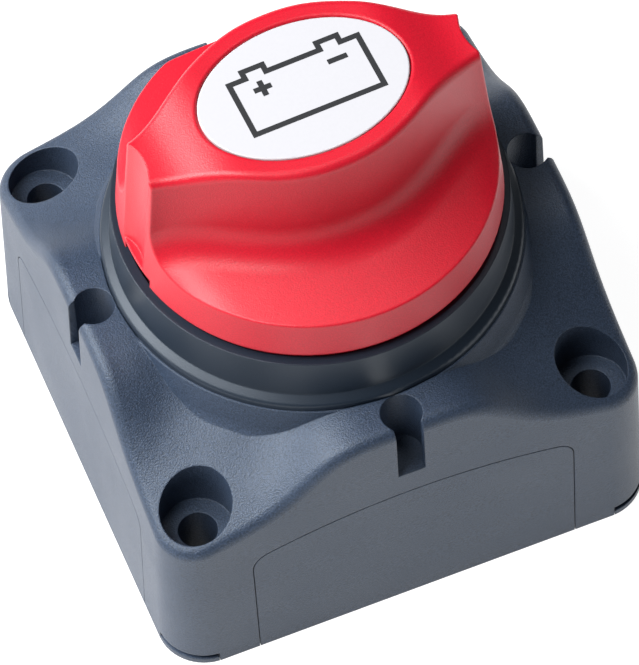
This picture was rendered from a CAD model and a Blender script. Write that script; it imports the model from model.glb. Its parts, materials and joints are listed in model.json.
import bpy
import json
import math
from mathutils import Matrix, Vector


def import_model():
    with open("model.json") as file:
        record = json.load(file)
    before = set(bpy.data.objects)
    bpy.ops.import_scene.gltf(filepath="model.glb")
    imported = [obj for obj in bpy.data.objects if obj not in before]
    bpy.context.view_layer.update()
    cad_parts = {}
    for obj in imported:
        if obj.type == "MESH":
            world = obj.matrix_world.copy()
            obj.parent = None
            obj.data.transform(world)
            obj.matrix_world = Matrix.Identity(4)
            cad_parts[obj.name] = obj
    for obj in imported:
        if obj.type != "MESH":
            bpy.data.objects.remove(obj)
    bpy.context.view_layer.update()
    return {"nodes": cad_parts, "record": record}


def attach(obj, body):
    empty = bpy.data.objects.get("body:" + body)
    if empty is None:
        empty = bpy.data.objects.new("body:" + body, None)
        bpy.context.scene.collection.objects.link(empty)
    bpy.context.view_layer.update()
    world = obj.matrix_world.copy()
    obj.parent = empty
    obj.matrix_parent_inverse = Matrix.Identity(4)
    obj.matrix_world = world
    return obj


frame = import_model()

MM = 0.001
NOISE_FROM, NOISE_TO = 0.3, 0.7  # the part of the noise's range that is used
BROAD_GRAIN = 14 * MM  # patches over which a moulding's gloss drifts
GLOSS_DRIFT = 0.03  # how far a moulding's roughness strays either way
METAL_DRIFT = 0.06  # and a metal's
METAL_GRAIN = 0.4 * MM
METAL_FINER = (1, 1, 6)  # turned marks, six times finer up a piece than around it
METAL_DARK = 0.88
METAL_DEPTH = 0.004 * MM
BEVEL_SAMPLES = 6


# ---- Node helpers
def new_material(name):
    """An empty node material with a Principled shader, and that shader."""
    material = bpy.data.materials.new(name)
    material.use_nodes = True
    nodes = material.node_tree.nodes
    nodes.clear()
    output = nodes.new("ShaderNodeOutputMaterial")
    shader = nodes.new("ShaderNodeBsdfPrincipled")
    material.node_tree.links.new(shader.outputs["BSDF"], output.inputs["Surface"])
    return material, shader


def noise(tree, grain, detail=3.0, finer=(1, 1, 1)):
    """Noise whose features are about grain metres across, divided by finer on each axis."""
    place = tree.nodes.new("ShaderNodeTexCoord")
    mapping = tree.nodes.new("ShaderNodeMapping")
    mapping.inputs["Scale"].default_value = [times / grain for times in finer]
    texture = tree.nodes.new("ShaderNodeTexNoise")
    texture.inputs["Scale"].default_value = 1.0
    texture.inputs["Detail"].default_value = detail
    tree.links.new(place.outputs["Object"], mapping.inputs["Vector"])
    tree.links.new(mapping.outputs["Vector"], texture.inputs["Vector"])
    return texture.outputs["Fac"]


def spread(tree, value, low, high):
    """Maps a noise value to low..high."""
    node = tree.nodes.new("ShaderNodeMapRange")
    node.inputs["From Min"].default_value = NOISE_FROM
    node.inputs["From Max"].default_value = NOISE_TO
    node.inputs["To Min"].default_value = low
    node.inputs["To Max"].default_value = high
    tree.links.new(value, node.inputs["Value"])
    return node.outputs["Result"]


def mixed_colour(tree, factor, dark, light):
    """Blends from the dark colour to the light one by factor."""
    node = tree.nodes.new("ShaderNodeMix")
    node.data_type = "RGBA"
    node.inputs["A"].default_value = (*dark, 1)
    node.inputs["B"].default_value = (*light, 1)
    tree.links.new(factor, node.inputs["Factor"])
    return node.outputs["Result"]


def bump(tree, shader, height, distance, edge=0.0):
    """Bump of the given depth, over edges that read as rounded by edge."""
    node = tree.nodes.new("ShaderNodeBump")
    node.inputs["Distance"].default_value = distance
    node.inputs["Strength"].default_value = 1.0
    tree.links.new(height, node.inputs["Height"])
    if edge:
        tree.links.new(rounded(tree, edge), node.inputs["Normal"])
    tree.links.new(node.outputs["Normal"], shader.inputs["Normal"])


def rounded(tree, radius):
    """Normals that read every sharp moulded edge as rounded by radius."""
    node = tree.nodes.new("ShaderNodeBevel")
    node.samples = BEVEL_SAMPLES
    node.inputs["Radius"].default_value = radius
    return node.outputs["Normal"]


def plastic(name, colour, roughness, grain, depth, variation=0.12, tint=(1, 1, 1), edge=0.0):
    """Moulded plastic with a fine eroded grain and slight unevenness of colour and gloss."""
    material, shader = new_material(name)
    tree = material.node_tree
    fine = noise(tree, grain)
    broad = noise(tree, BROAD_GRAIN, detail=2.0)
    dark = [c * (1 - variation) for c in colour]
    light = [min(1, c * (1 + variation)) for c in colour]
    colours = mixed_colour(tree, spread(tree, fine, 0, 1), dark, light)
    tree.links.new(colours, shader.inputs["Base Color"])
    gloss = spread(tree, broad, roughness - GLOSS_DRIFT, roughness + GLOSS_DRIFT)
    tree.links.new(gloss, shader.inputs["Roughness"])
    shader.inputs["Specular Tint"].default_value = (*tint, 1)
    bump(tree, shader, fine, depth, edge=edge)
    return material


def metal(name, colour, roughness):
    """Bare metal with fine turned marks."""
    material, shader = new_material(name)
    tree = material.node_tree
    fine = noise(tree, METAL_GRAIN, finer=METAL_FINER)
    dark = [c * METAL_DARK for c in colour]
    colours = mixed_colour(tree, spread(tree, fine, 0, 1), dark, colour)
    tree.links.new(colours, shader.inputs["Base Color"])
    gloss = spread(tree, fine, roughness - METAL_DRIFT, roughness + METAL_DRIFT)
    tree.links.new(gloss, shader.inputs["Roughness"])
    shader.inputs["Metallic"].default_value = 1.0
    bump(tree, shader, fine, METAL_DEPTH)
    return material


# ---- Materials: one for each slot of the record, and label_ink for the label's print
SLATE = (0.84, 0.92, 1.0)  # tint of the dark plastics' sheen
# name: colour, roughness, size and depth of the grain, then what else differs
PLASTICS = {
    "housing_plastic": (
        (0.028, 0.043, 0.074), 0.42, 0.2 * MM, 0.09 * MM,
        {"variation": 0.5, "tint": SLATE, "edge": 0.3 * MM},
    ),
    "ring_plastic": (
        (0.01, 0.017, 0.029), 0.4, 0.17 * MM, 0.01 * MM,
        {"variation": 0.15, "tint": SLATE, "edge": 0.25 * MM},
    ),
    "knob_plastic": (
        (0.54, 0.005, 0.02), 0.39, 0.2 * MM, 0.032 * MM,
        {"variation": 0.14, "edge": 0.35 * MM},
    ),
    "label_film": ((0.54, 0.54, 0.57), 0.14, 0.5 * MM, 0.0005 * MM, {"variation": 0.01}),
    "label_ink": ((0.012, 0.013, 0.016), 0.6, 0.3 * MM, 0.001 * MM, {}),
    "deck_plastic": ((0.02, 0.02, 0.022), 0.4, 0.3 * MM, 0.01 * MM, {}),
    "rotor_plastic": ((0.6, 0.57, 0.5), 0.4, 0.3 * MM, 0.01 * MM, {}),
    "seal_rubber": ((0.02, 0.02, 0.02), 0.7, 0.2 * MM, 0.01 * MM, {}),
}
# name: colour, roughness
METALS = {
    "tinned_copper": ((0.72, 0.71, 0.68), 0.4),
    "copper": ((0.8, 0.42, 0.26), 0.32),
    "contact_silver": ((0.85, 0.84, 0.82), 0.25),
    "stainless": ((0.6, 0.6, 0.61), 0.3),
    "spring_steel": ((0.42, 0.42, 0.43), 0.34),
}
MATERIALS = {name: plastic(name, *look, **rest) for name, (*look, rest) in PLASTICS.items()}
MATERIALS.update({name: metal(name, *look) for name, look in METALS.items()})


def paint(piece, slot, look=None):
    """Gives a piece its slot, and the slot's own material unless look names another."""
    piece.data.materials.clear()
    piece.data.materials.append(MATERIALS[look or slot])


for row in frame["record"]["subparts"]:
    paint(frame["nodes"][row["node"]], row["material_slot"])


# ---- Battery pictogram printed on the label, in millimetres seen square on
REST_TURN = math.radians(2.5)  # the knob stands this far past square at rest
INK_LOW = 72.105 * MM  # just clear of the label's film
INK_HIGH = 72.135 * MM
LINE = 0.75  # width of the printed line
CASE_LEFT, CASE_RIGHT, CASE_LOW, CASE_HIGH = -8.8, 9.85, -4.3, 4.7
POST_HIGH = 5.85
POSTS = ((3.84, 7.42), (-6.55, -2.92))
SIGN_Y = 2.15
PLUS_X, PLUS_L = -4.7, 2.4
MINUS_X, MINUS_L = 5.7, 2.7


def ink(name, outer, inner=None):
    """A thin closed print: the outer outline in millimetres, less the inner one."""
    turn = Matrix.Rotation(REST_TURN, 3, "Z")
    loops = [outer] if inner is None else [outer, inner]
    corners = []
    for height in (INK_LOW, INK_HIGH):
        for loop in loops:
            corners += [turn @ Vector((x * MM, y * MM, height)) for x, y in loop]
    count = len(outer)
    layer = count * len(loops)
    faces = []
    for i in range(count):
        j = (i + 1) % count
        faces.append((i, j, layer + j, layer + i))
        if inner:
            faces.append((count + j, count + i, layer + count + i, layer + count + j))
            faces.append((i, count + i, count + j, j))
            faces.append((layer + j, layer + count + j, layer + count + i, layer + i))
    if not inner:
        faces.append(tuple(range(count - 1, -1, -1)))
        faces.append(tuple(range(layer, layer + count)))
    mesh = bpy.data.meshes.new(name)
    mesh.from_pydata(corners, [], faces)
    piece = bpy.data.objects.new(name, mesh)
    bpy.context.scene.collection.objects.link(piece)
    paint(piece, "label_film", "label_ink")
    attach(piece, "knob_body")


def case_outline(inset):
    """The battery's outline with its two posts, drawn inwards by inset."""
    left, right = CASE_LEFT + inset, CASE_RIGHT - inset
    low, high, top = CASE_LOW + inset, CASE_HIGH - inset, POST_HIGH - inset
    points = [(left, low), (right, low), (right, high)]
    for post_left, post_right in POSTS:
        a, b = post_right - inset, post_left + inset
        points += [(a, high), (a, top), (b, top), (b, high)]
    return points + [(left, high)]


def sign_outline(x, y, length, tall):
    """A plus when tall, otherwise a minus."""
    a, b = length / 2, LINE / 2
    if not tall:
        return [(x - a, y - b), (x + a, y - b), (x + a, y + b), (x - a, y + b)]
    quarter = (complex(b, b), complex(b, a), complex(-b, a))
    corners = [turn * corner for turn in (1, 1j, -1, -1j) for corner in quarter]
    return [(x + corner.real, y + corner.imag) for corner in corners]


ink("ink_battery", case_outline(0), case_outline(LINE))
ink("ink_plus", sign_outline(PLUS_X, SIGN_Y, PLUS_L, True))
ink("ink_minus", sign_outline(MINUS_X, SIGN_Y, MINUS_L, False))


# ---- Floor, light and camera
FLOOR_HALF = 1.5
FLOOR_GREY = 0.35
FLOOR_ROUGHNESS = 0.9
FLOOR_GLOW = 0.92  # lifts the paper floor to white
WORLD_GLOW = 0.06
# name: place, the point aimed at, size, power in watts
LIGHTS = {
    "key": ((-0.75, 0.42, 0.72), (0, 0, 0.03), (0.8, 0.6), 20),
    "left": ((-0.48, -0.1, 0.88), (0, 0, 0.03), (0.45, 0.45), 8),
    "overhead": ((0.14, 0.16, 0.98), (0, 0, 0.05), (0.2, 0.2), 1),
}
IMAGE_HEIGHT = 665  # the longer side, across which the sensor's width is laid
SENSOR = 36
FOCAL_PX = 6678.98
CAMERA_TURN, CAMERA_RISE, CAMERA_ROLL = (math.radians(a) for a in (-19.113, 58.252, -3.437))
CAMERA_DISTANCE = 884.44 * MM
CAMERA_SHIFT_RIGHT, CAMERA_SHIFT_UP = -0.533 * MM, 6.243 * MM
CAMERA_AIM = Vector((0, 0, 25 * MM))


def soft_light(name, place, aim, size, power):
    """A white rectangular light at place, turned towards aim."""
    data = bpy.data.lights.new(name, "AREA")
    data.shape = "RECTANGLE"
    data.size, data.size_y = size
    data.energy = power
    light = bpy.data.objects.new(name, data)
    bpy.context.scene.collection.objects.link(light)
    light.location = place
    light.rotation_euler = (Vector(aim) - Vector(place)).to_track_quat("-Z", "Y").to_euler()


def floor():
    """A plain pale sheet of paper under the part."""
    mesh = bpy.data.meshes.new("floor")
    half = FLOOR_HALF
    corners = [(-half, -half, 0), (half, -half, 0), (half, half, 0), (-half, half, 0)]
    mesh.from_pydata(corners, [], [(0, 1, 2, 3)])
    piece = bpy.data.objects.new("floor", mesh)
    bpy.context.scene.collection.objects.link(piece)
    material, shader = new_material("floor_paper")
    shader.inputs["Base Color"].default_value = (FLOOR_GREY, FLOOR_GREY, FLOOR_GREY, 1)
    shader.inputs["Roughness"].default_value = FLOOR_ROUGHNESS
    shader.inputs["Emission Color"].default_value = (1, 1, 1, 1)
    shader.inputs["Emission Strength"].default_value = FLOOR_GLOW
    mesh.materials.append(material)


def world(strength):
    """An even white surround."""
    scene_world = bpy.data.worlds.new("studio")
    bpy.context.scene.world = scene_world
    scene_world.use_nodes = True
    background = scene_world.node_tree.nodes["Background"]
    background.inputs["Color"].default_value = (1, 1, 1, 1)
    background.inputs["Strength"].default_value = strength


def camera():
    """The photograph's camera, aimed at a point above the middle of the base."""
    turn, rise, roll = CAMERA_TURN, CAMERA_RISE, CAMERA_ROLL
    flat = Vector((math.sin(turn), -math.cos(turn), 0))
    back = flat * math.cos(rise) + Vector((0, 0, math.sin(rise)))
    level = Vector((math.cos(turn), math.sin(turn), 0))
    upright = back.cross(level)
    right = level * math.cos(roll) + upright * math.sin(roll)
    up = upright * math.cos(roll) - level * math.sin(roll)
    place = CAMERA_AIM + back * CAMERA_DISTANCE - right * CAMERA_SHIFT_RIGHT - up * CAMERA_SHIFT_UP
    data = bpy.data.cameras.new("camera")
    data.sensor_width = SENSOR
    data.lens = FOCAL_PX * SENSOR / IMAGE_HEIGHT
    piece = bpy.data.objects.new("camera", data)
    bpy.context.scene.collection.objects.link(piece)
    piece.matrix_world = Matrix.Translation(place) @ Matrix((right, up, back)).transposed().to_4x4()
    bpy.context.scene.camera = piece


floor()
world(WORLD_GLOW)
for name, setting in LIGHTS.items():
    soft_light(name, *setting)
camera()
bpy.context.scene.view_settings.view_transform = "Standard"
